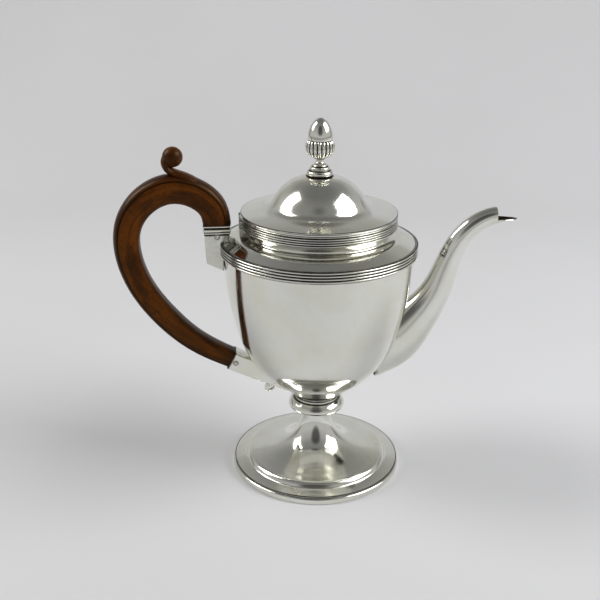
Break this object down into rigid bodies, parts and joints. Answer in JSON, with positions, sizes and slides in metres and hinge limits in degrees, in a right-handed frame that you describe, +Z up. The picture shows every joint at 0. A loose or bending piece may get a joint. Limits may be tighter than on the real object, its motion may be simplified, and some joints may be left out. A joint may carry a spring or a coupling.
{
  "type": "silver coffee pot",
  "caption": "Vase-shaped footed pot with a hinged domed lid under an acorn finial, a swan-neck spout and a scrolled wooden handle, for serving hot coffee.",
  "frame": {"origin": "centre of the bounding box's bottom, on the plane the foot stands on; this is also the axis of the turned body", "axes": "+X from the handle towards the spout, +Y across the pot, +Z up from the foot to the finial"},
  "size_m": [0.3002, 0.1474, 0.2779],
  "materials": {
    "polished_silver": "polished solid silver with fine hairline scratches and a faint warm tarnish in the corners",
    "reeded_silver": "polished reeds with dark oxide left in the grooves",
    "worn_silver": "dull, rubbed silver of the hinge, the pins and the finial's nut",
    "inner_silver": "dull, tarnished silver of the inside of the lid",
    "fruitwood": "waxed brown fruitwood, darker in the hollows and at the two ends"
  },
  "bodies": {
    "pot": {"foot_rim_band": "polished_silver", "foot": "polished_silver", "knop_ring": "polished_silver", "stem_collar": "polished_silver", "body_bowl": "polished_silver", "shoulder_band": "reeded_silver", "shoulder_neck": "polished_silver", "rim_band": "reeded_silver", "spout": "polished_silver", "hinge_box": "worn_silver", "hinge_pin": "worn_silver", "body_knuckle_1": "worn_silver", "body_knuckle_2": "worn_silver", "body_knuckle_3": "worn_silver", "handle_grip": "fruitwood", "upper_socket": "polished_silver", "socket_collar": "polished_silver", "upper_handle_pin": "worn_silver", "lower_socket": "polished_silver", "lower_handle_pin": "worn_silver", "socket_drop": "polished_silver"},
    "lid": {"lid_dome": "polished_silver", "lid_edge_wire": "polished_silver", "lid_bezel": "inner_silver", "finial_base": "polished_silver", "finial_stem": "polished_silver", "finial_cup": "polished_silver", "finial_bud": "polished_silver", "finial_stud": "worn_silver", "finial_washer": "worn_silver", "finial_nut": "worn_silver", "lid_hinge_plate": "worn_silver", "lid_knuckle_1": "worn_silver", "lid_knuckle_2": "worn_silver"}
  },
  "joints": [
    {"name": "lid_hinge", "type": "hinge", "parent": "pot", "child": "lid", "pos_m": [-0.0572, 0, 0.203], "axis": [0, -1, 0], "range_deg": [0, 76]}
  ]
}
